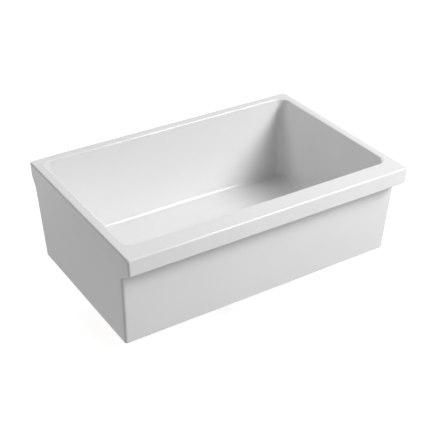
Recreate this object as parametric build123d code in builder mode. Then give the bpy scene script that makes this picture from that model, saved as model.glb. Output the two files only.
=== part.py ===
from build123d import *
import os
from math import atan, cos, degrees, radians, tan

# Apron-front kitchen sink in glazed fireclay, with its basket strainer waste. Millimetres, +Z up.
# The origin is on the outlet's axis, in the plane of the underside that rests on the cabinet frame.
# The apron faces -Y.

# ---------------------------------------------------------------- driving dimensions: fireclay body
sink_width = 762.0
sink_depth = 508.0
sink_height = 254.0

rim_side = 24.0  # rim widths run from the outer edge to the basin wall
rim_front = 52.0
rim_back = 26.0

floor_thickness = 26.0  # at the foot of the basin's walls
basin_lean = 12.0  # how far each basin wall leans inwards over the basin's depth
basin_corner_radius = 24.0
basin_floor_fillet = 11.0
basin_rim_fillet = 4.5

lip_height = 41.0
lip_projection = 37.5
lip_slope = 24.0  # height over which the lip's underside runs back into the apron
apron_lean = 10.5
side_lean = 9.5
back_lip_height = 38.0
back_lip_projection = 15.0
back_lip_slope = 27.0  # height over which the back lip runs into the back wall
back_lean = 18.0

rim_edge_fillet = 4.5
lip_corner_fillet = 5.0
apron_corner_fillet = 7.0
back_corner_fillet = 12.0
lip_under_fillet = 4.0
back_lip_blend = 30.0
foot_fillet = 4.0

outlet_radius = 45.0
dish_radius = 92.0  # the floor falls to the outlet from this radius
dish_fall = 3.0
under_recess_radius = 68.0  # clears the locknut, so that the underside can lie flat
under_recess_depth = 5.0
under_recess_fillet = 3.0

# ---------------------------------------------------------------- driving dimensions: waste
flange_radius = 57.0
flange_thickness = 2.0
flange_edge_fillet = 1.4
flange_recess_clearance = 1.0
flange_seal_thickness = 1.0
flange_seal_margin = 0.8

thread_radius = 42.6
thread_foot_z = -22.0
cup_radius = 40.0
cup_mouth_fillet = 2.5
ledge_z = 12.0
ledge_width = 2.0
cup_foot_radius = 36.5
seat_z = -25.0
seat_width = 8.5
cup_floor_thickness = 3.5
cup_floor_overhang = 2.0
throat_foot_z = -33.0
spigot_bore_radius = 19.5
spigot_radius = 24.1
spigot_shoulder_z = -37.0
spigot_foot_z = -52.0

thread_clearance = 0.1
gasket_bore_clearance = 0.3
gasket_radius = 57.0
gasket_thickness = 3.0
friction_ring_radius = 56.0
friction_ring_thickness = 1.0

locknut_radius = 50.0
locknut_height = 10.0
locknut_lugs = 4
locknut_lug_reach = 60.0
locknut_lug_width = 14.0
locknut_lug_height = 7.0
locknut_lug_fillet = 3.0
locknut_edge_fillet = 0.8

crossbar_z = -41.0
crossbar_height = 4.0
crossbar_arms = 4
crossbar_arm_width = 3.0
crossbar_hub_radius = 6.5
crossbar_hub_bore_radius = 3.6
crossbar_hoop = 1.6
crossbar_clearance = 0.05

tailpiece_radius = 19.05
tailpiece_wall = 1.2
tailpiece_length = 100.0
tailpiece_flange_radius = 23.0
tailpiece_flange_thickness = 1.5
tailpiece_washer_thickness = 2.0
tailpiece_washer_bore_radius = 18.5

coupling_width = 57.0  # across flats
coupling_lip_thickness = 3.0
coupling_lip_clearance = 0.95
coupling_thread_length = 10.0

nut_bevel_angle = 30.0
nut_bevel_start = 0.95  # radius where the bevel of a hexagon nut starts, as a share of half its width
bevel_margin = 0.1  # the turned profile reaches past the nut's corners by this much

# ---------------------------------------------------------------- driving dimensions: basket and post
basket_rim_radius = 39.6
basket_rim_thickness = 1.6
basket_wall = 1.0
basket_mouth_radius = 37.2
basket_foot_radius = 31.0
basket_floor_z = -8.0
basket_foot_fillet = 4.0

slot_count = 20
slot_width = 3.2
slot_length = 11.0
floor_hole_radius = 1.8
inner_hole_count = 8
inner_hole_ring = 14.0
outer_hole_count = 16
outer_hole_ring = 22.5

stem_radius = 3.0
stem_chamfer = 0.5
stem_foot_z = -32.0
stem_top_z = 18.0
groove_depth = 0.4
groove_radius = 0.7
post_travel = 8.0

sleeve_clearance = 0.08
sleeve_radius = 6.0
sleeve_top_z = 3.0
sleeve_chamfer = 0.8
sleeve_flange_radius = 9.5
sleeve_flange_thickness = 1.5
sleeve_nut_width = 16.0  # across flats
sleeve_nut_height = 2.5
nut_clearance = 0.05

clip_wire_radius = 0.6
clip_z = -2.0
clip_gap = 50.0  # degrees left open
clip_clearance = 0.1

stopper_radius = 33.0
stopper_thickness = 3.0
stopper_edge_fillet = 0.8
stopper_plate_radius = 23.0
stopper_plate_thickness = 1.4
retainer_radius = 12.0
retainer_thickness = 1.0
stem_nut_width = 10.0  # across flats
stem_nut_height = 4.5

knob_top_z = 25.0
knob_foot_z = 9.0
knob_radius = 10.5
knob_neck_radius = 5.5
knob_neck_top_z = 14.0
knob_grip_z = 19.5
knob_rim_z = 21.5

# ---------------------------------------------------------------- places that follow from the sizes
basin_width = sink_width - 2 * rim_side
basin_length = sink_depth - rim_front - rim_back
front_y = -(basin_length / 2 + rim_front)
back_y = basin_length / 2 + rim_back
lip_foot_z = sink_height - lip_height
apron_top_z = lip_foot_z - lip_slope
apron_top_y = front_y + lip_projection
back_lip_foot_z = sink_height - back_lip_height
back_wall_top_y = back_y - back_lip_projection
back_wall_top_z = back_lip_foot_z - back_lip_slope
basin_floor_z = floor_thickness
basin_depth = sink_height - floor_thickness
basin_angle = degrees(atan(basin_lean / basin_depth))

flange_top_z = basin_floor_z - dish_fall
flange_foot_z = flange_top_z - flange_thickness
outlet_seat_z = flange_foot_z - flange_seal_thickness
flange_recess_radius = flange_radius + flange_recess_clearance

gasket_foot_z = under_recess_depth - gasket_thickness
locknut_top_z = gasket_foot_z - friction_ring_thickness
locknut_foot_z = locknut_top_z - locknut_height

ledge_radius = cup_radius - ledge_width
throat_radius = cup_foot_radius - seat_width
cup_floor_under_z = seat_z - cup_floor_thickness
tailpiece_top_z = spigot_foot_z - tailpiece_washer_thickness
tailpiece_flange_foot_z = tailpiece_top_z - tailpiece_flange_thickness
tailpiece_foot_z = tailpiece_top_z - tailpiece_length
coupling_foot_z = tailpiece_flange_foot_z - coupling_lip_thickness
coupling_top_z = spigot_foot_z + coupling_thread_length

basket_under_z = basket_floor_z - basket_wall
slot_mid_z = (basket_floor_z + basket_foot_fillet + ledge_z) / 2
sleeve_nut_foot_z = basket_under_z - sleeve_nut_height
stopper_top_z = seat_z + stopper_thickness
retainer_foot_z = seat_z - retainer_thickness
stem_nut_foot_z = retainer_foot_z - stem_nut_height
stem_bore_radius = stem_radius + sleeve_clearance
clip_ring_radius = stem_radius + clip_clearance + clip_wire_radius
clip_groove_radius = clip_ring_radius + clip_wire_radius + clip_clearance
clip_groove_half = clip_wire_radius + clip_clearance


def hexagon_bar(width, foot_z, height):
    """A hexagon bar of that width across flats, its corners turned off at both ends."""
    bevel_radius = width / 2 * nut_bevel_start
    corner_radius = width / 2 / cos(radians(30))
    reach = corner_radius + bevel_margin
    rise = (reach - bevel_radius) * tan(radians(nut_bevel_angle))
    with BuildPart() as bar:
        with BuildSketch(Plane.XY.offset(foot_z)):
            RegularPolygon(width / 2, 6, major_radius=False)
        extrude(amount=height)
        with BuildSketch(Plane.XZ):
            with BuildLine():
                Polyline(
                    (0, foot_z),
                    (bevel_radius, foot_z),
                    (reach, foot_z + rise),
                    (reach, foot_z + height - rise),
                    (bevel_radius, foot_z + height),
                    (0, foot_z + height),
                    close=True,
                )
            make_face()
        revolve(axis=Axis.Z, mode=Mode.INTERSECT)
    return bar.part


# ---------------------------------------------------------------- the fireclay body
with BuildPart() as sink_body:
    # side view: front lip over the leaning apron, flat foot, back lip that runs into the back wall
    with BuildSketch(Plane.YZ) as side_view:
        with BuildLine():
            Polyline(
                (front_y, sink_height),
                (front_y, lip_foot_z),
                (apron_top_y, apron_top_z),
                (apron_top_y + apron_lean, 0),
                (back_wall_top_y - back_lean, 0),
                (back_wall_top_y, back_wall_top_z),
                (back_y, back_lip_foot_z),
                (back_y, sink_height),
                close=True,
            )
        make_face()
        back_lip_bends = side_view.vertices().filter_by_position(Axis.X, 0, back_y)
        back_lip_bends = back_lip_bends.filter_by_position(Axis.Y, 1, sink_height - 1)
        fillet(back_lip_bends, back_lip_blend)
    extrude(amount=sink_width / 2, both=True)
    # front view: both ends lean inwards towards the foot
    with BuildSketch(Plane.XZ):
        with BuildLine():
            Polyline(
                (-sink_width / 2, sink_height),
                (-sink_width / 2 + side_lean, 0),
                (sink_width / 2 - side_lean, 0),
                (sink_width / 2, sink_height),
                close=True,
            )
        make_face()
    extrude(amount=sink_depth, both=True, mode=Mode.INTERSECT)

    # the upright corners: back, ends of the lip, apron
    end_edges = sink_body.edges().filter_by(lambda edge: abs(edge.center().X) > sink_width / 3)
    upright = end_edges.filter_by(lambda edge: abs(edge.tangent_at(0.5).Z) > 0.9)
    fillet(upright.filter_by_position(Axis.Y, 0, back_y), back_corner_fillet)
    fillet(upright.filter_by_position(Axis.Y, front_y - 1, front_y + 1), lip_corner_fillet)
    fillet(upright.filter_by_position(Axis.Y, apron_top_y, 0), apron_corner_fillet)
    # the rim's outer edge, the foot, and the lip's sloping underside with its root in the apron
    fillet(sink_body.faces().sort_by(Axis.Z)[-1].outer_wire().edges(), rim_edge_fillet)
    fillet(sink_body.faces().sort_by(Axis.Z)[0].outer_wire().edges(), foot_fillet)
    lip_underside = sink_body.faces().filter_by(GeomType.PLANE).filter_by_position(
        Axis.Y, front_y + 1, apron_top_y - 1
    )
    fillet(lip_underside.edges(), lip_under_fillet)

    # the basin: four leaning walls, round corners, a floor that blends into them
    with BuildSketch(Plane.XY.offset(sink_height)):
        RectangleRounded(basin_width, basin_length, basin_corner_radius)
    extrude(amount=-basin_depth, taper=basin_angle, mode=Mode.SUBTRACT)
    basin_floor = sink_body.faces().filter_by(Axis.Z).filter_by_position(
        Axis.Z, basin_floor_z - 1, basin_floor_z + 1
    )
    fillet(basin_floor.edges(), basin_floor_fillet)
    fillet(sink_body.faces().sort_by(Axis.Z)[-1].inner_wires().edges(), basin_rim_fillet)

    # the outlet: a shallow dish, a seat that sinks the strainer's flange flush, the hole, and
    # a round recess underneath that keeps the clamping parts clear of the supporting face
    with Locations((0, 0, flange_top_z)):
        Cone(
            flange_recess_radius,
            dish_radius,
            dish_fall,
            align=(Align.CENTER, Align.CENTER, Align.MIN),
            mode=Mode.SUBTRACT,
        )
    with BuildSketch(Plane.XY.offset(outlet_seat_z)):
        Circle(flange_recess_radius)
    extrude(amount=flange_top_z - outlet_seat_z, mode=Mode.SUBTRACT)
    with BuildSketch(Plane.XY):
        Circle(outlet_radius)
    extrude(amount=basin_floor_z, mode=Mode.SUBTRACT)
    with BuildSketch(Plane.XY):
        Circle(under_recess_radius)
    extrude(amount=under_recess_depth, mode=Mode.SUBTRACT)
    recess_mouth = sink_body.edges().filter_by(GeomType.CIRCLE).filter_by_position(Axis.Z, -1, 1)
    fillet(
        recess_mouth.filter_by(lambda edge: abs(edge.radius - under_recess_radius) < 1),
        under_recess_fillet,
    )
sink_body.part.label = "sink_body"

# ---------------------------------------------------------------- the waste, fixed to the body
with BuildPart() as strainer_body:
    # flange, cup with the basket's ledge, seat for the stopper, throat, threaded spigot
    with BuildSketch(Plane.XZ):
        with BuildLine():
            Polyline(
                (cup_radius, flange_top_z),
                (cup_radius, ledge_z),
                (ledge_radius, ledge_z),
                (cup_foot_radius, seat_z),
                (throat_radius, seat_z),
                (spigot_bore_radius, throat_foot_z),
                (spigot_bore_radius, spigot_foot_z),
                (spigot_radius, spigot_foot_z),
                (spigot_radius, spigot_shoulder_z),
                (throat_radius + cup_floor_overhang, cup_floor_under_z),
                (cup_foot_radius, cup_floor_under_z),
                (thread_radius, thread_foot_z),
                (thread_radius, flange_foot_z),
                (flange_radius, flange_foot_z),
                (flange_radius, flange_top_z),
                close=True,
            )
        make_face()
    revolve(axis=Axis.Z)
    flange_edges = strainer_body.faces().sort_by(Axis.Z)[-1].edges().sort_by(SortBy.RADIUS)
    fillet(flange_edges[0], cup_mouth_fillet)
    fillet(strainer_body.faces().sort_by(Axis.Z)[-1].outer_wire().edges(), flange_edge_fillet)
strainer_body.part.label = "strainer_body"

with BuildPart() as crossbar:
    # spider across the throat: hub, arms and a hoop that sits in the spigot's bore
    with BuildSketch(Plane.XY.offset(crossbar_z)):
        Circle(spigot_bore_radius - crossbar_clearance)
        Circle(spigot_bore_radius - crossbar_clearance - crossbar_hoop, mode=Mode.SUBTRACT)
        with PolarLocations(0, crossbar_arms):
            Rectangle(
                spigot_bore_radius - crossbar_hoop,
                crossbar_arm_width,
                align=(Align.MIN, Align.CENTER),
            )
        Circle(crossbar_hub_radius)
        Circle(crossbar_hub_bore_radius, mode=Mode.SUBTRACT)
    extrude(amount=crossbar_height)
crossbar.part.label = "crossbar"

with BuildPart() as flange_seal:
    with BuildSketch(Plane.XY.offset(outlet_seat_z)):
        Circle(flange_radius - flange_seal_margin)
        Circle(outlet_radius, mode=Mode.SUBTRACT)
    extrude(amount=flange_seal_thickness)
flange_seal.part.label = "flange_seal"

with BuildPart() as under_gasket:
    with BuildSketch(Plane.XY.offset(gasket_foot_z)):
        Circle(gasket_radius)
        Circle(thread_radius + gasket_bore_clearance, mode=Mode.SUBTRACT)
    extrude(amount=gasket_thickness)
under_gasket.part.label = "under_gasket"

with BuildPart() as friction_ring:
    with BuildSketch(Plane.XY.offset(locknut_top_z)):
        Circle(friction_ring_radius)
        Circle(thread_radius + gasket_bore_clearance, mode=Mode.SUBTRACT)
    extrude(amount=friction_ring_thickness)
friction_ring.part.label = "friction_ring"

with BuildPart() as locknut:
    with BuildSketch(Plane.XY.offset(locknut_foot_z)):
        Circle(locknut_radius)
    extrude(amount=locknut_height)
    fillet(locknut.edges().filter_by(GeomType.CIRCLE), locknut_edge_fillet)
    # lugs for the spanner, rounded at their outer corners
    with BuildSketch(Plane.XY.offset(locknut_foot_z)) as lugs:
        with PolarLocations(0, locknut_lugs):
            Rectangle(locknut_lug_reach, locknut_lug_width, align=(Align.MIN, Align.CENTER))
        lug_tips = lugs.vertices().filter_by(
            lambda corner: Vector(corner).length > locknut_lug_reach
        )
        fillet(lug_tips, locknut_lug_fillet)
    extrude(amount=locknut_lug_height)
    with BuildSketch(Plane.XY.offset(locknut_foot_z)):
        Circle(thread_radius + thread_clearance)
    extrude(amount=locknut_height, mode=Mode.SUBTRACT)
locknut.part.label = "locknut"

with BuildPart() as tailpiece_washer:
    with BuildSketch(Plane.XY.offset(tailpiece_top_z)):
        Circle(tailpiece_flange_radius)
        Circle(tailpiece_washer_bore_radius, mode=Mode.SUBTRACT)
    extrude(amount=tailpiece_washer_thickness)
tailpiece_washer.part.label = "tailpiece_washer"

with BuildPart() as tailpiece:
    with BuildSketch(Plane.XY.offset(tailpiece_flange_foot_z)):
        Circle(tailpiece_flange_radius)
    extrude(amount=tailpiece_flange_thickness)
    with BuildSketch(Plane.XY.offset(tailpiece_foot_z)):
        Circle(tailpiece_radius)
    extrude(amount=tailpiece_flange_foot_z - tailpiece_foot_z)
    with BuildSketch(Plane.XY.offset(tailpiece_foot_z)):
        Circle(tailpiece_radius - tailpiece_wall)
    extrude(amount=tailpiece_length, mode=Mode.SUBTRACT)
tailpiece.part.label = "tailpiece"

with BuildPart() as coupling_nut:
    # threaded over the spigot, with a lip under the tailpiece's flange
    add(hexagon_bar(coupling_width, coupling_foot_z, coupling_top_z - coupling_foot_z))
    with BuildSketch(Plane.XY.offset(coupling_foot_z)):
        Circle(tailpiece_radius + coupling_lip_clearance)
    extrude(amount=coupling_lip_thickness, mode=Mode.SUBTRACT)
    with BuildSketch(Plane.XY.offset(tailpiece_flange_foot_z)):
        Circle(spigot_radius + thread_clearance)
    extrude(amount=coupling_top_z - tailpiece_flange_foot_z, mode=Mode.SUBTRACT)
coupling_nut.part.label = "coupling_nut"

# ---------------------------------------------------------------- the basket, which lifts out
with BuildPart() as basket:
    # thin drawn shell: rim on the cup's ledge, tapered wall, flat floor
    with BuildSketch(Plane.XZ):
        with BuildLine():
            Polyline(
                (sleeve_radius + nut_clearance, basket_under_z),
                (basket_foot_radius, basket_under_z),
                (basket_mouth_radius, ledge_z),
                (basket_rim_radius, ledge_z),
                (basket_rim_radius, ledge_z + basket_rim_thickness),
                (basket_mouth_radius - basket_wall, ledge_z + basket_rim_thickness),
                (basket_foot_radius - basket_wall, basket_floor_z),
                (sleeve_radius + nut_clearance, basket_floor_z),
                close=True,
            )
        make_face()
    revolve(axis=Axis.Z)
    shell_edges = basket.edges().filter_by(GeomType.CIRCLE).filter_by(
        lambda edge: edge.radius > basket_foot_radius - 2 * basket_wall
    )
    fillet(shell_edges.filter_by_position(Axis.Z, basket_under_z - 0.1, basket_under_z + 0.1),
           basket_foot_fillet)
    fillet(shell_edges.filter_by_position(Axis.Z, basket_floor_z - 0.1, basket_floor_z + 0.1),
           basket_foot_fillet - basket_wall)
    # drain slots round the wall
    with BuildSketch(Plane.YZ) as slot:
        with Locations((0, slot_mid_z)):
            SlotOverall(slot_length, slot_width, rotation=90)
    slot_cutter = extrude(slot.sketch, amount=basket_rim_radius, mode=Mode.PRIVATE)
    with PolarLocations(0, slot_count):
        add(slot_cutter, mode=Mode.SUBTRACT)
    # two rings of holes in the floor
    with PolarLocations(inner_hole_ring, inner_hole_count):
        Hole(floor_hole_radius)
    with PolarLocations(outer_hole_ring, outer_hole_count):
        Hole(floor_hole_radius)
basket.part.label = "basket"

with BuildPart() as basket_sleeve:
    # guide for the stem: barrel through the basket's floor, flange on it, inner groove for the clip
    with BuildSketch(Plane.XZ):
        with BuildLine():
            Polyline(
                (stem_bore_radius, sleeve_nut_foot_z),
                (sleeve_radius, sleeve_nut_foot_z),
                (sleeve_radius, basket_floor_z),
                (sleeve_flange_radius, basket_floor_z),
                (sleeve_flange_radius, basket_floor_z + sleeve_flange_thickness),
                (sleeve_radius, basket_floor_z + sleeve_flange_thickness),
                (sleeve_radius, sleeve_top_z),
                (stem_bore_radius, sleeve_top_z),
                (stem_bore_radius, clip_z + clip_groove_half),
                (clip_groove_radius, clip_z + clip_groove_half),
                (clip_groove_radius, clip_z - clip_groove_half),
                (stem_bore_radius, clip_z - clip_groove_half),
                close=True,
            )
        make_face()
    revolve(axis=Axis.Z)
    chamfer(basket_sleeve.faces().sort_by(Axis.Z)[-1].outer_wire().edges(), sleeve_chamfer)
basket_sleeve.part.label = "basket_sleeve"

with BuildPart() as sleeve_nut:
    add(hexagon_bar(sleeve_nut_width, sleeve_nut_foot_z, sleeve_nut_height))
    with BuildSketch(Plane.XY.offset(sleeve_nut_foot_z)):
        Circle(sleeve_radius + nut_clearance)
    extrude(amount=sleeve_nut_height, mode=Mode.SUBTRACT)
sleeve_nut.part.label = "sleeve_nut"

with BuildPart() as spring_clip:
    # open ring of wire round the stem, in the sleeve's groove; its gap faces the back
    with BuildSketch(Plane.XZ.rotated((0, 0, 90 + clip_gap / 2))):
        with Locations((clip_ring_radius, clip_z)):
            Circle(clip_wire_radius)
    revolve(axis=Axis.Z, revolution_arc=360 - clip_gap)
spring_clip.part.label = "spring_clip"

# ---------------------------------------------------------------- the post, which slides in the sleeve
with BuildPart() as post_stem:
    with BuildSketch(Plane.XY.offset(stem_foot_z)):
        Circle(stem_radius)
    extrude(amount=stem_top_z - stem_foot_z)
    # two detent grooves: one faces the clip with the stopper down, the other with it pulled up
    with BuildSketch(Plane.XZ):
        with Locations(
            (stem_radius + groove_radius - groove_depth, clip_z),
            (stem_radius + groove_radius - groove_depth, clip_z - post_travel),
        ):
            Circle(groove_radius)
    revolve(axis=Axis.Z, mode=Mode.SUBTRACT)
    chamfer(post_stem.faces().sort_by(Axis.Z)[0].edges(), stem_chamfer)
post_stem.part.label = "post_stem"

with BuildPart() as post_knob:
    # turned knob: plain neck, undercut grip, low dome; blind hole for the stem
    with BuildSketch(Plane.XZ):
        with BuildLine():
            neck = Line((knob_neck_radius, knob_foot_z), (knob_neck_radius, knob_neck_top_z))
            grip = TangentArc(neck @ 1, (knob_radius, knob_grip_z), tangent=neck % 1)
            rim = Line(grip @ 1, (knob_radius, knob_rim_z))
            TangentArc((0, knob_top_z), rim @ 1, tangent=(1, 0))
            Polyline((0, knob_top_z), (0, knob_foot_z), neck @ 0)
        make_face()
    revolve(axis=Axis.Z)
    with BuildSketch(Plane.XY.offset(knob_foot_z)):
        Circle(stem_radius + nut_clearance)
    extrude(amount=stem_top_z - knob_foot_z, mode=Mode.SUBTRACT)
post_knob.part.label = "post_knob"

with BuildPart() as stopper_plate:
    with BuildSketch(Plane.XY.offset(stopper_top_z)):
        Circle(stopper_plate_radius)
        Circle(stem_radius + nut_clearance, mode=Mode.SUBTRACT)
    extrude(amount=stopper_plate_thickness)
stopper_plate.part.label = "stopper_plate"

with BuildPart() as stopper_washer:
    with BuildSketch(Plane.XY.offset(seat_z)):
        Circle(stopper_radius)
        Circle(stem_radius + nut_clearance, mode=Mode.SUBTRACT)
    extrude(amount=stopper_thickness)
    fillet(stopper_washer.faces().sort_by(Axis.Z)[-1].outer_wire().edges(), stopper_edge_fillet)
stopper_washer.part.label = "stopper_washer"

with BuildPart() as retaining_washer:
    with BuildSketch(Plane.XY.offset(retainer_foot_z)):
        Circle(retainer_radius)
        Circle(stem_radius + nut_clearance, mode=Mode.SUBTRACT)
    extrude(amount=retainer_thickness)
retaining_washer.part.label = "retaining_washer"

with BuildPart() as stem_nut:
    add(hexagon_bar(stem_nut_width, stem_nut_foot_z, stem_nut_height))
    with BuildSketch(Plane.XY.offset(stem_nut_foot_z)):
        Circle(stem_radius + nut_clearance)
    extrude(amount=stem_nut_height, mode=Mode.SUBTRACT)
stem_nut.part.label = "stem_nut"

# ---------------------------------------------------------------- one file for each piece
pieces = [
    sink_body, strainer_body, crossbar, flange_seal, under_gasket, friction_ring, locknut,
    tailpiece_washer, tailpiece, coupling_nut, basket, basket_sleeve, sleeve_nut, spring_clip,
    post_stem, post_knob, stopper_plate, stopper_washer, retaining_washer, stem_nut,
]
os.makedirs("parts", exist_ok=True)
for piece in pieces:
    export_step(piece.part, f"parts/{piece.part.label}.step")
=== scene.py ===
# %% [markdown]
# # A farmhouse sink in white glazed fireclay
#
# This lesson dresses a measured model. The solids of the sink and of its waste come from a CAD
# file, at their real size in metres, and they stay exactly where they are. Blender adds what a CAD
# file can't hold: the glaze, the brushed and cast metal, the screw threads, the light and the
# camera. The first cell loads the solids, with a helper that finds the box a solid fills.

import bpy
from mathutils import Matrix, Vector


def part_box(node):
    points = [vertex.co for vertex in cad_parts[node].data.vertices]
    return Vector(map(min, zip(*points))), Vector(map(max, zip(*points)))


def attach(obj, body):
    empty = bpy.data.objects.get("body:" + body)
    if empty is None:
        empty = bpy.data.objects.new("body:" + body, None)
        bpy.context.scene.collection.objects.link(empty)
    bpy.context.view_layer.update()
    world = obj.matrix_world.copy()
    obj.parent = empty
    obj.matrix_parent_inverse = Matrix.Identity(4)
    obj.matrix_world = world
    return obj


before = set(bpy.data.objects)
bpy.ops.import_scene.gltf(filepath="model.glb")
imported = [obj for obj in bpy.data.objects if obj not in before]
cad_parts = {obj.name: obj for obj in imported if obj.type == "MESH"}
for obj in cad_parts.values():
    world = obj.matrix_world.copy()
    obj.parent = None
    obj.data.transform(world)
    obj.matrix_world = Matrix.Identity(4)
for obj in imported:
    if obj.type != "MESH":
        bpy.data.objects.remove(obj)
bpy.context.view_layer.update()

# %% The other modules
from math import cos, pi, radians, sin

import bpy
from mathutils import Euler, Matrix, Vector

# %% [markdown]
# ## The camera
#
# The photograph looks down on the sink from its left front corner with a long lens. Its straight
# edges run towards vanishing points, and a fit of those edges gave the place of the lens, its
# direction and its focal length. A camera that is placed by such a fit needs no guessing and no
# lens shift. It could also be moved by eye until the outlines meet, but that mixes up distance and
# focal length.

# %% Camera
camera_place = Vector((-1.1301, -1.7633, 1.3943))
camera_turn = radians(32.70)  # to the right of straight ahead
camera_tilt = radians(31.65)  # below the horizon
camera_roll = radians(0.51)
focal_length = 82.40  # mm, on a sensor 36 mm wide

camera_data = bpy.data.cameras.new("camera")
camera_data.lens = focal_length
camera_data.sensor_width = 36.0
camera_data.clip_end = 60.0
camera = bpy.data.objects.new("camera", camera_data)
bpy.context.scene.collection.objects.link(camera)
direction = Euler((pi / 2 - camera_tilt, 0, -camera_turn)).to_matrix()
camera.matrix_world = (
    Matrix.Translation(camera_place)
    @ (direction @ Matrix.Rotation(camera_roll, 3, "Z")).to_4x4()
)
bpy.context.scene.camera = camera
print("camera looks along", [round(c, 3) for c in -camera.matrix_world.col[2].xyz])

# %% [markdown]
# ## Nodes by script
#
# The world, the floor and every finish are small networks of nodes. Nodes can be placed by hand in
# the shader editor, but a script says exactly what was set and gives the same result each time.
# Three short helpers do what comes back everywhere: they add a node, link two, and do one step of
# arithmetic. Each later helper is defined where it is first needed.

# %% A node, a link, a step of arithmetic
def add_node(owner, kind, **settings):
    """A new node in the tree of a material or a world, with its settings."""
    node = owner.node_tree.nodes.new(kind)
    for setting, value in settings.items():
        setattr(node, setting, value)
    return node


def join(owner, output, socket):
    """A link from an output to a socket."""
    owner.node_tree.links.new(output, socket)


def calculate(owner, operation, first, second):
    """One step of arithmetic; each side is an output or a number."""
    math = add_node(owner, "ShaderNodeMath", operation=operation)
    for side, socket in ((first, math.inputs[0]), (second, math.inputs[1])):
        if isinstance(side, (int, float)):
            socket.default_value = side
        else:
            join(owner, side, socket)
    return math.outputs[0]


# %% [markdown]
# ## Floor and surroundings
#
# The photograph has a pure white background. A white sink only reads on white if its own sides are
# a little darker than the background, so the background can't come from more light: it comes from
# Light Path. A ray straight from the camera, or one that a shiny surface sends on, meets white at
# a strength of 1, while the rays that light the sink meet a dimmer world. The floor glows for the
# same rays. Its glow is weaker beside the sink, so that the soft shadow stays, and rises outwards
# until the floor can't be told from the background.

# %% Rays that are seen
def seen_rays(owner):
    """1 for a ray from the camera, or one that a shiny or clear surface sends on, and else 0."""
    path = add_node(owner, "ShaderNodeLightPath")
    shiny, clear = path.outputs["Is Glossy Ray"], path.outputs["Is Transmission Ray"]
    sent_on = calculate(owner, "MAXIMUM", shiny, clear)
    return calculate(owner, "MAXIMUM", path.outputs["Is Camera Ray"], sent_on)


# %% World
world_strength = 0.01

world = bpy.data.worlds.new("studio")
bpy.context.scene.world = world
world.use_nodes = True
world.node_tree.nodes.clear()
dim_sky = add_node(world, "ShaderNodeBackground")
dim_sky.inputs["Strength"].default_value = world_strength
white_sky = add_node(world, "ShaderNodeBackground")
white_sky.inputs["Strength"].default_value = 1.0
for sky in (dim_sky, white_sky):
    sky.inputs["Color"].default_value = (1.0, 1.0, 1.0, 1.0)
sky_mix = add_node(world, "ShaderNodeMixShader")
join(world, seen_rays(world), sky_mix.inputs[0])
join(world, dim_sky.outputs[0], sky_mix.inputs[1])
join(world, white_sky.outputs[0], sky_mix.inputs[2])
world_output = add_node(world, "ShaderNodeOutputWorld")
join(world, sky_mix.outputs[0], world_output.inputs["Surface"])
print("world strength for the light on the sink:", world_strength)

# %% [markdown]
# ## The floor
#
# The tailpiece hangs below the sink's foot, and the floor lies just under the tailpiece, so the
# sink is up in the air, where a cabinet would hold it. One large plane is enough: a second plane as
# a backdrop would show an edge. Its paint starts from one shader whose steady values sit on its own
# sockets. What varies reads the piece's own coordinates, in metres: here only the glow does, by the
# distance from the sink.

# %% Floor
floor_size = 24.0
floor_gap = 0.0005  # below the tailpiece
floor_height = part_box("tailpiece")[0].z - floor_gap

bpy.ops.object.select_all(action="DESELECT")
bpy.ops.mesh.primitive_plane_add(size=floor_size, location=(0, 0, floor_height))
floor = bpy.context.object
floor.name = "floor"
print("floor at a height of", round(floor_height, 4), "m")

# %% Helpers for a finish
def start_finish(name, metallic=0.0):
    """A new material and its main shader."""
    material = bpy.data.materials.new(name)
    material.use_nodes = True
    shader = material.node_tree.nodes["Principled BSDF"]
    shader.inputs["Metallic"].default_value = metallic
    return material, shader


def own_place(material):
    """Where the surface is, in metres from the piece's origin."""
    return add_node(material, "ShaderNodeTexCoord").outputs["Object"]


def to_range(material, value, low, high, start=0.3, end=0.7):
    """Turns the part of a pattern between start and end into values from low to high."""
    limits = add_node(material, "ShaderNodeMapRange")
    limits.inputs["From Min"].default_value = start
    limits.inputs["From Max"].default_value = end
    limits.inputs["To Min"].default_value = low
    limits.inputs["To Max"].default_value = high
    join(material, value, limits.inputs["Value"])
    return limits.outputs["Result"]


# %% Pale paint for the floor
glow_near, glow_far = 0.8, 1.0  # strength beside the sink, and out where the floor meets the white
near_radius, far_radius = 0.6, 1.8

floor_paint, shader = start_finish("pale floor")
shader.inputs["Base Color"].default_value = (0.50, 0.50, 0.50, 1.0)
shader.inputs["Roughness"].default_value = 0.9
shader.inputs["Emission Color"].default_value = (1.0, 1.0, 1.0, 1.0)
radius = add_node(floor_paint, "ShaderNodeVectorMath", operation="LENGTH")
join(floor_paint, own_place(floor_paint), radius.inputs[0])
rising = to_range(
    floor_paint, radius.outputs["Value"], glow_near, glow_far, start=near_radius, end=far_radius
)
floor_glow = calculate(floor_paint, "MULTIPLY", seen_rays(floor_paint), rising)
join(floor_paint, floor_glow, shader.inputs["Emission Strength"])
floor.data.materials.append(floor_paint)
print(floor_paint.name, "glows from", glow_near, "to", glow_far)

# %% [markdown]
# ## Light
#
# The bright lines in the photograph run along the edges that go from left to right, and the right
# wall throws a soft shadow into the bowl. Both say the same: one large soft box stands to the
# right, in front and above. A small lamp would give hard shadows and a sun would light both ends
# alike. Four weaker boxes fill the rest: two on the left, so that the left end isn't black, one
# high at the back for the rim and the bowl's floor, and one low at the back for the wall that the
# photograph hides.

# %% A soft box
sink_middle = Vector((0, 0, 0.15))
lamp_distance = 3.0


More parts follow.
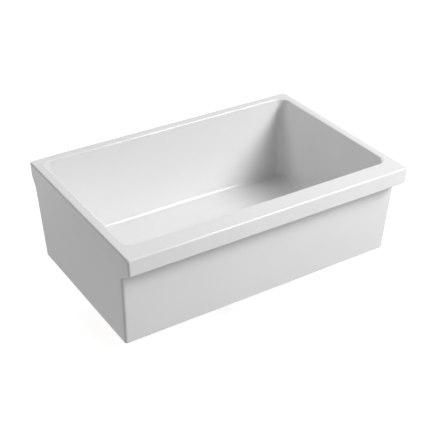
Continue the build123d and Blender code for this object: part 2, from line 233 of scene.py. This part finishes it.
def soft_box(name, azimuth, elevation, size, power):
    """A square lamp turned towards the sink; azimuth 0 is the sink's right-hand end."""
    flat = lamp_distance * cos(radians(elevation))
    height = lamp_distance * sin(radians(elevation))
    from_middle = Vector((flat * cos(radians(azimuth)), flat * sin(radians(azimuth)), height))
    lamp_data = bpy.data.lights.new(name, "AREA")
    lamp_data.shape = "SQUARE"
    lamp_data.size = size
    lamp_data.energy = power
    lamp = bpy.data.objects.new(name, lamp_data)
    bpy.context.scene.collection.objects.link(lamp)
    lamp.location = sink_middle + from_middle
    lamp.rotation_euler = (-from_middle).to_track_quat("-Z", "Y").to_euler()
    print("lamp", name, "of", power, "W at", [round(c, 2) for c in lamp.location])


# %% Lamps
soft_box("key", -50, 38, size=1.2, power=90.0)
soft_box("front left", -142, 34, size=1.3, power=5.0)
soft_box("left", 180, 15, size=1.3, power=6.5)
soft_box("above", 120, 62, size=1.3, power=18.0)
soft_box("back", 90, 15, size=1.3, power=42.0)

bpy.context.scene.view_settings.view_transform = "Standard"

# %% [markdown]
# ## White glaze on fireclay
#
# The glaze is a thick layer of glass over coarse clay. It is white, but not evenly so: it is a
# touch greyer where it ran thin, and its surface waves slightly, because it was sprayed on and
# melted. The underside is wiped clean before firing, so that the sink doesn't stick to the kiln's
# shelf, and shows the bare grainy clay. Paint with one colour and one gloss would look like
# plastic, so the colour, the gloss and the relief each get a pattern of their own.

# %% Helpers for patterns
def spots(material, place, scale, detail=2.0):
    """Soft spots of noise; the scale is spots per metre."""
    noise = add_node(material, "ShaderNodeTexNoise")
    noise.inputs["Scale"].default_value = scale
    noise.inputs["Detail"].default_value = detail
    join(material, place, noise.inputs["Vector"])
    return noise.outputs["Fac"]


def two_colors(material, share, first, second):
    """A blend of two colours; each is an output or three numbers."""
    mix = add_node(material, "ShaderNodeMix", data_type="RGBA")
    join(material, share, mix.inputs[0])
    for color, socket in ((first, mix.inputs[6]), (second, mix.inputs[7])):
        if isinstance(color, tuple):
            socket.default_value = (*color, 1.0)
        else:
            join(material, color, socket)
    return mix.outputs[2]


def relief(material, height, depth, below=None):
    """A surface raised by a pattern, depth in metres, on top of an earlier relief."""
    bump = add_node(material, "ShaderNodeBump")
    bump.inputs["Strength"].default_value = 1.0
    bump.inputs["Distance"].default_value = depth
    join(material, height, bump.inputs["Height"])
    if below is not None:
        join(material, below, bump.inputs["Normal"])
    return bump.outputs["Normal"]


def cover(material, *node_names):
    """Gives CAD nodes their finish."""
    for node_name in node_names:
        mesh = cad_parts[node_name].data
        mesh.materials.clear()
        mesh.materials.append(material)
    print(material.name, "on", ", ".join(node_names))


# %% White glaze
thick_white, thin_white = (0.81, 0.81, 0.81), (0.79, 0.79, 0.788)

glaze, shader = start_finish("white glaze")
shader.inputs["Specular IOR Level"].default_value = 0.35
place = own_place(glaze)
thickness = to_range(glaze, spots(glaze, place, scale=5.0), 0.0, 1.0)
white = two_colors(glaze, thickness, thick_white, thin_white)
gloss = to_range(glaze, spots(glaze, place, scale=40.0, detail=3.0), 0.07, 0.13)
waves = relief(glaze, spots(glaze, place, scale=9.0, detail=1.0), depth=0.0003)
fine_waves = spots(glaze, place, scale=160.0, detail=1.0)
orange_peel = relief(glaze, fine_waves, depth=0.00002, below=waves)
print(glaze.name, "from", thick_white, "to", thin_white)

# %% Bare clay under the foot
wiped_height = 0.0012  # the wipe reaches this far up the foot's rounded edge
edge_wobble = 0.0008
recess_height = 0.01  # higher than the hollow round the outlet
facing_down = -0.8  # the normal's height, below which a face counts as underside
bare_roughness = 0.75  # more than the glaze has
pale_clay, brown_clay = (0.66, 0.60, 0.50), (0.50, 0.44, 0.36)

split_place = add_node(glaze, "ShaderNodeSeparateXYZ")
join(glaze, place, split_place.inputs[0])
split_facing = add_node(glaze, "ShaderNodeSeparateXYZ")
join(glaze, add_node(glaze, "ShaderNodeTexCoord").outputs["Normal"], split_facing.inputs[0])
wobble = to_range(glaze, spots(glaze, place, scale=60.0, detail=3.0), -edge_wobble, edge_wobble)
wiped_edge = calculate(glaze, "ADD", wobble, wiped_height)
wiped = calculate(glaze, "LESS_THAN", split_place.outputs["Z"], wiped_edge)
low = calculate(glaze, "LESS_THAN", split_place.outputs["Z"], recess_height)
faces_down = calculate(glaze, "LESS_THAN", split_facing.outputs["Z"], facing_down)
bare = calculate(glaze, "MAXIMUM", wiped, calculate(glaze, "MULTIPLY", low, faces_down))

grain = spots(glaze, place, scale=900.0, detail=4.0)
clay = two_colors(glaze, to_range(glaze, grain, 0.0, 1.0), pale_clay, brown_clay)
join(glaze, two_colors(glaze, bare, white, clay), shader.inputs["Base Color"])
added_roughness = calculate(glaze, "MULTIPLY", bare, bare_roughness)
join(glaze, calculate(glaze, "ADD", gloss, added_roughness), shader.inputs["Roughness"])
grain_height = calculate(glaze, "MULTIPLY", grain, bare)
grainy = relief(glaze, grain_height, depth=0.0003, below=orange_peel)
join(glaze, grainy, shader.inputs["Normal"])
cover(glaze, "sink_body")

# %% [markdown]
# ## Stainless steel, turned and drawn
#
# The strainer, its basket and the post are round, and they are polished while they spin. The marks
# of the belt run round the axis, so the pattern is a noise that depends on the distance from the
# axis and on the height, and hardly on the angle. A noise on plain coordinates would give spots,
# and a wave pattern would give rings that are too even.

# %% Marks that run round
def round_marks(material, place, across, around_axis):
    """Marks round the Z axis: that many per metre across, and per metre along them."""
    split = add_node(material, "ShaderNodeSeparateXYZ")
    join(material, place, split.inputs[0])
    flat_place = add_node(material, "ShaderNodeCombineXYZ")
    join(material, split.outputs["X"], flat_place.inputs["X"])
    join(material, split.outputs["Y"], flat_place.inputs["Y"])
    radius = add_node(material, "ShaderNodeVectorMath", operation="LENGTH")
    join(material, flat_place.outputs[0], radius.inputs[0])
    drift = calculate(material, "ADD", split.outputs["X"], split.outputs["Y"])
    marks = add_node(material, "ShaderNodeCombineXYZ")
    for axis, measure, density in (
        ("X", radius.outputs["Value"], across), ("Y", split.outputs["Z"], across),
        ("Z", drift, around_axis),
    ):
        join(material, calculate(material, "MULTIPLY", measure, density), marks.inputs[axis])
    return spots(material, marks.outputs[0], scale=1.0, detail=3.0)


# %% Satin steel
clean_steel, handled_steel = (0.53, 0.52, 0.50), (0.45, 0.44, 0.425)

steel, shader = start_finish("satin steel", metallic=1.0)
place = own_place(steel)
belt_marks = round_marks(steel, place, across=2400.0, around_axis=60.0)
smudges = spots(steel, place, scale=45.0, detail=3.0)
tone = two_colors(steel, to_range(steel, smudges, 0.0, 1.0), clean_steel, handled_steel)
join(steel, tone, shader.inputs["Base Color"])
mark_gloss = to_range(steel, belt_marks, 0.18, 0.34)
smudge_gloss = to_range(steel, smudges, 0.0, 0.06)
join(steel, calculate(steel, "ADD", mark_gloss, smudge_gloss), shader.inputs["Roughness"])
join(steel, relief(steel, belt_marks, depth=0.000012), shader.inputs["Normal"])
cover(
    steel, "strainer_body", "basket", "spring_clip", "post_stem", "post_knob", "stopper_plate",
    "retaining_washer",
)

# %% [markdown]
# ## Chrome plate
#
# The tailpiece and its coupling nut are brass under a mirror plate. The plate is bright, with faint
# smears where hands and a wrench have been. A mirror with no marks would show only the room.

# %% Chrome
bright_plate, smeared_plate = (0.63, 0.64, 0.66), (0.54, 0.55, 0.57)

chrome, shader = start_finish("chrome plate", metallic=1.0)
place = own_place(chrome)
smears = spots(chrome, place, scale=30.0, detail=4.0)
plate = two_colors(chrome, to_range(chrome, smears, 0.0, 1.0), bright_plate, smeared_plate)
join(chrome, plate, shader.inputs["Base Color"])
smear_gloss = to_range(chrome, smears, 0.04, 0.15, start=0.35, end=0.75)
join(chrome, smear_gloss, shader.inputs["Roughness"])
buffing = round_marks(chrome, place, across=1500.0, around_axis=90.0)
join(chrome, relief(chrome, buffing, depth=0.000003), shader.inputs["Normal"])
cover(chrome, "tailpiece", "coupling_nut")

# %% [markdown]
# ## Brass, cast and turned
#
# The crossbar and the locknut are sand castings, so their skin is grainy and has dulled to brown in
# its hollows. The sleeve and the two small nuts are turned from bar: the same metal, but brighter,
# with marks that run round. One material for both would hide how they were made.

# %% Cast brass
yellow_brass, brown_brass = (0.68, 0.52, 0.27), (0.42, 0.30, 0.15)

cast_brass, shader = start_finish("cast brass", metallic=1.0)
place = own_place(cast_brass)
tarnish = spots(cast_brass, place, scale=70.0, detail=4.0)
dulled = to_range(cast_brass, tarnish, 0.0, 1.0)
skin = two_colors(cast_brass, dulled, yellow_brass, brown_brass)
join(cast_brass, skin, shader.inputs["Base Color"])
join(cast_brass, to_range(cast_brass, tarnish, 0.34, 0.58), shader.inputs["Roughness"])
sand_grain = spots(cast_brass, place, scale=1100.0)
join(cast_brass, relief(cast_brass, sand_grain, depth=0.00012), shader.inputs["Normal"])
cover(cast_brass, "crossbar", "locknut")

# %% Turned brass
fresh_brass, filmed_brass = (0.74, 0.59, 0.32), (0.62, 0.47, 0.24)

turned_brass, shader = start_finish("turned brass", metallic=1.0)
place = own_place(turned_brass)
tool_marks = round_marks(turned_brass, place, across=3200.0, around_axis=40.0)
film = to_range(turned_brass, spots(turned_brass, place, scale=120.0), 0.0, 1.0)
bright_skin = two_colors(turned_brass, film, fresh_brass, filmed_brass)
join(turned_brass, bright_skin, shader.inputs["Base Color"])
join(turned_brass, to_range(turned_brass, tool_marks, 0.18, 0.36), shader.inputs["Roughness"])
join(turned_brass, relief(turned_brass, tool_marks, depth=0.000015), shader.inputs["Normal"])
cover(turned_brass, "basket_sleeve", "sleeve_nut", "stem_nut")

# %% [markdown]
# ## Rubber, fibre and plastic
#
# The seals are moulded black rubber with a pale bloom. The friction ring is punched from waxed
# fibre board, so long fibres show in its face. The washer over the tailpiece is a milky plastic,
# a little cloudy inside. Each is dull, and each gets a pattern at its own scale.

# %% Rubber
black, pale_black = (0.035, 0.035, 0.036), (0.075, 0.075, 0.072)

rubber, shader = start_finish("black rubber")
place = own_place(rubber)
bloom = spots(rubber, place, scale=90.0, detail=4.0)
bloomed = two_colors(rubber, to_range(rubber, bloom, 0.0, 1.0), black, pale_black)
join(rubber, bloomed, shader.inputs["Base Color"])
join(rubber, to_range(rubber, bloom, 0.48, 0.72), shader.inputs["Roughness"])
mould_skin = relief(rubber, spots(rubber, place, scale=1800.0), depth=0.00004)
join(rubber, mould_skin, shader.inputs["Normal"])
cover(rubber, "flange_seal", "under_gasket", "stopper_washer")

# %% Fibre board
pale_strand, dark_strand = (0.48, 0.34, 0.22), (0.30, 0.19, 0.11)
strands_per_metre = (250.0, 1400.0, 900.0)  # long in X, thin in Y

fibre, shader = start_finish("waxed fibre")
stretch = add_node(fibre, "ShaderNodeMapping")
stretch.inputs["Scale"].default_value = strands_per_metre
join(fibre, own_place(fibre), stretch.inputs["Vector"])
strands = spots(fibre, stretch.outputs["Vector"], scale=1.0, detail=5.0)
board = two_colors(fibre, to_range(fibre, strands, 0.0, 1.0), pale_strand, dark_strand)
join(fibre, board, shader.inputs["Base Color"])
join(fibre, to_range(fibre, strands, 0.55, 0.8), shader.inputs["Roughness"])
join(fibre, relief(fibre, strands, depth=0.00006), shader.inputs["Normal"])
cover(fibre, "friction_ring")

# %% Milky plastic
milk_white, cloud_white = (0.84, 0.84, 0.80), (0.76, 0.76, 0.71)
glow_depth = (0.002, 0.002, 0.0018)  # how far light spreads inside, by colour

milky, shader = start_finish("milky plastic")
shader.inputs["Subsurface Weight"].default_value = 0.2
shader.inputs["Subsurface Radius"].default_value = glow_depth
place = own_place(milky)
clouds = spots(milky, place, scale=150.0, detail=3.0)
cloudy = two_colors(milky, to_range(milky, clouds, 0.0, 1.0), milk_white, cloud_white)
join(milky, cloudy, shader.inputs["Base Color"])
join(milky, to_range(milky, clouds, 0.34, 0.5), shader.inputs["Roughness"])
soft_skin = relief(milky, spots(milky, place, scale=700.0), depth=0.00002)
join(milky, soft_skin, shader.inputs["Normal"])
cover(milky, "tailpiece_washer")

# %% [markdown]
# ## Screw threads
#
# The CAD solids show each thread as a plain cylinder. The real strainer has a coarse thread below
# its locknut, and a few turns show on its spigot above the coupling nut. A thread is one ridge that
# winds up the cylinder. It could be a bump in the material, but a thread shows in the outline, so
# it is a shape: a flat-topped section beside the axis, wound up by the Screw modifier, cut level at
# both ends and closed there. Bisect takes points near its plane for points on it, and the steps of
# a thread are so small that its usual tolerance would spoil the cut, so it is given a finer one.

# %% Measures of a ridge
ridge_sink = 0.0001  # the ridge's foot lies this deep in the cylinder
ridge_foot_share = 0.96  # of the pitch
ridge_crest_share = 0.25
spare_turns = 2  # one past each end, for the cuts
steps_per_turn = 64
cut_tolerance = 0.000001  # far less than the rise of one step
smooth_angle = radians(30)
print("a ridge's crest is", ridge_crest_share, "of its pitch, its foot", ridge_foot_share)


# %% The ridge's section
def choose_points(piece, wanted):
    """In edit mode, selects the points whose place wanted accepts."""
    bpy.ops.object.mode_set(mode="EDIT")
    bpy.ops.mesh.select_all(action="DESELECT")
    bpy.ops.object.mode_set(mode="OBJECT")
    for point in piece.data.vertices:
        point.select = wanted(point.co)
    bpy.ops.object.mode_set(mode="EDIT")


def ridge_section(name, middle, width, pitch):
    """Four edges beside the axis: a wide foot towards it and a narrow crest away from it."""
    bpy.ops.object.select_all(action="DESELECT")
    bpy.ops.mesh.primitive_plane_add(size=pitch, location=middle, rotation=(pi / 2, 0, 0))
    piece = bpy.context.object
    piece.name = name
    bpy.ops.object.transform_apply(location=True, rotation=True, scale=True)

    bpy.ops.object.mode_set(mode="EDIT")
    bpy.ops.mesh.select_all(action="SELECT")
    bpy.ops.mesh.delete(type="ONLY_FACE")
    bpy.ops.mesh.select_all(action="SELECT")
    bpy.ops.transform.resize(value=(width / pitch, 1, ridge_foot_share), center_override=middle)
    choose_points(piece, lambda place: place.x > middle.x)
    crest_width = ridge_crest_share / ridge_foot_share
    bpy.ops.transform.resize(value=(1, 1, crest_width), center_override=middle)
    bpy.ops.object.mode_set(mode="OBJECT")
    return piece


# %% Winding and cutting
def wind(piece, pitch, turns):
    """Winds the section up round the Z axis."""
    winding = piece.modifiers.new("winding", "SCREW")
    winding.axis = "Z"
    winding.angle = 2 * pi * turns
    winding.screw_offset = pitch * turns
    winding.steps = winding.render_steps = round(steps_per_turn * turns)
    bpy.ops.object.modifier_apply(modifier="winding")


def cut_level(foot, top):
    """Cuts the piece being worked on at two heights, and closes both ends."""
    bpy.ops.object.mode_set(mode="EDIT")
    for height, drop_above in ((foot, False), (top, True)):
        bpy.ops.mesh.select_all(action="SELECT")
        bpy.ops.mesh.bisect(
            plane_co=(0, 0, height), plane_no=(0, 0, 1), threshold=cut_tolerance,
            clear_inner=not drop_above, clear_outer=drop_above,
        )
    bpy.ops.mesh.select_all(action="SELECT")
    bpy.ops.mesh.fill_holes(sides=0)
    bpy.ops.mesh.normals_make_consistent(inside=False)
    bpy.ops.object.mode_set(mode="OBJECT")
    bpy.ops.object.shade_smooth_by_angle(angle=smooth_angle)


# %% A whole thread
def thread(name, core_radius, ridge_height, pitch, foot, top):
    """A ridge that winds up a cylinder round the Z axis, from foot to top."""
    middle = Vector((core_radius + (ridge_height - ridge_sink) / 2, 0, foot - pitch))
    piece = ridge_section(name, middle, ridge_height + ridge_sink, pitch)
    turns = (top - foot) / pitch
    wind(piece, pitch, turns + spare_turns)
    cut_level(foot, top)

    piece.data.materials.append(steel)
    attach(piece, "fixed_unit")
    print(name, "with", round(turns, 1), "turns and", len(piece.data.polygons), "faces")


# %% The strainer's two threads
nut_gap = 0.00005
cup_thread_foot = -0.0219  # just above the place where the cup's wall starts to lean in
spigot_thread_top = -0.0372  # just below the shoulder above the spigot

thread(
    "cup_thread", core_radius=0.0426, ridge_height=0.0007, pitch=0.0023,
    foot=cup_thread_foot, top=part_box("locknut")[0].z - nut_gap,
)
thread(
    "spigot_thread", core_radius=0.0241, ridge_height=0.0006, pitch=0.0022,
    foot=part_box("coupling_nut")[1].z + nut_gap, top=spigot_thread_top,
)
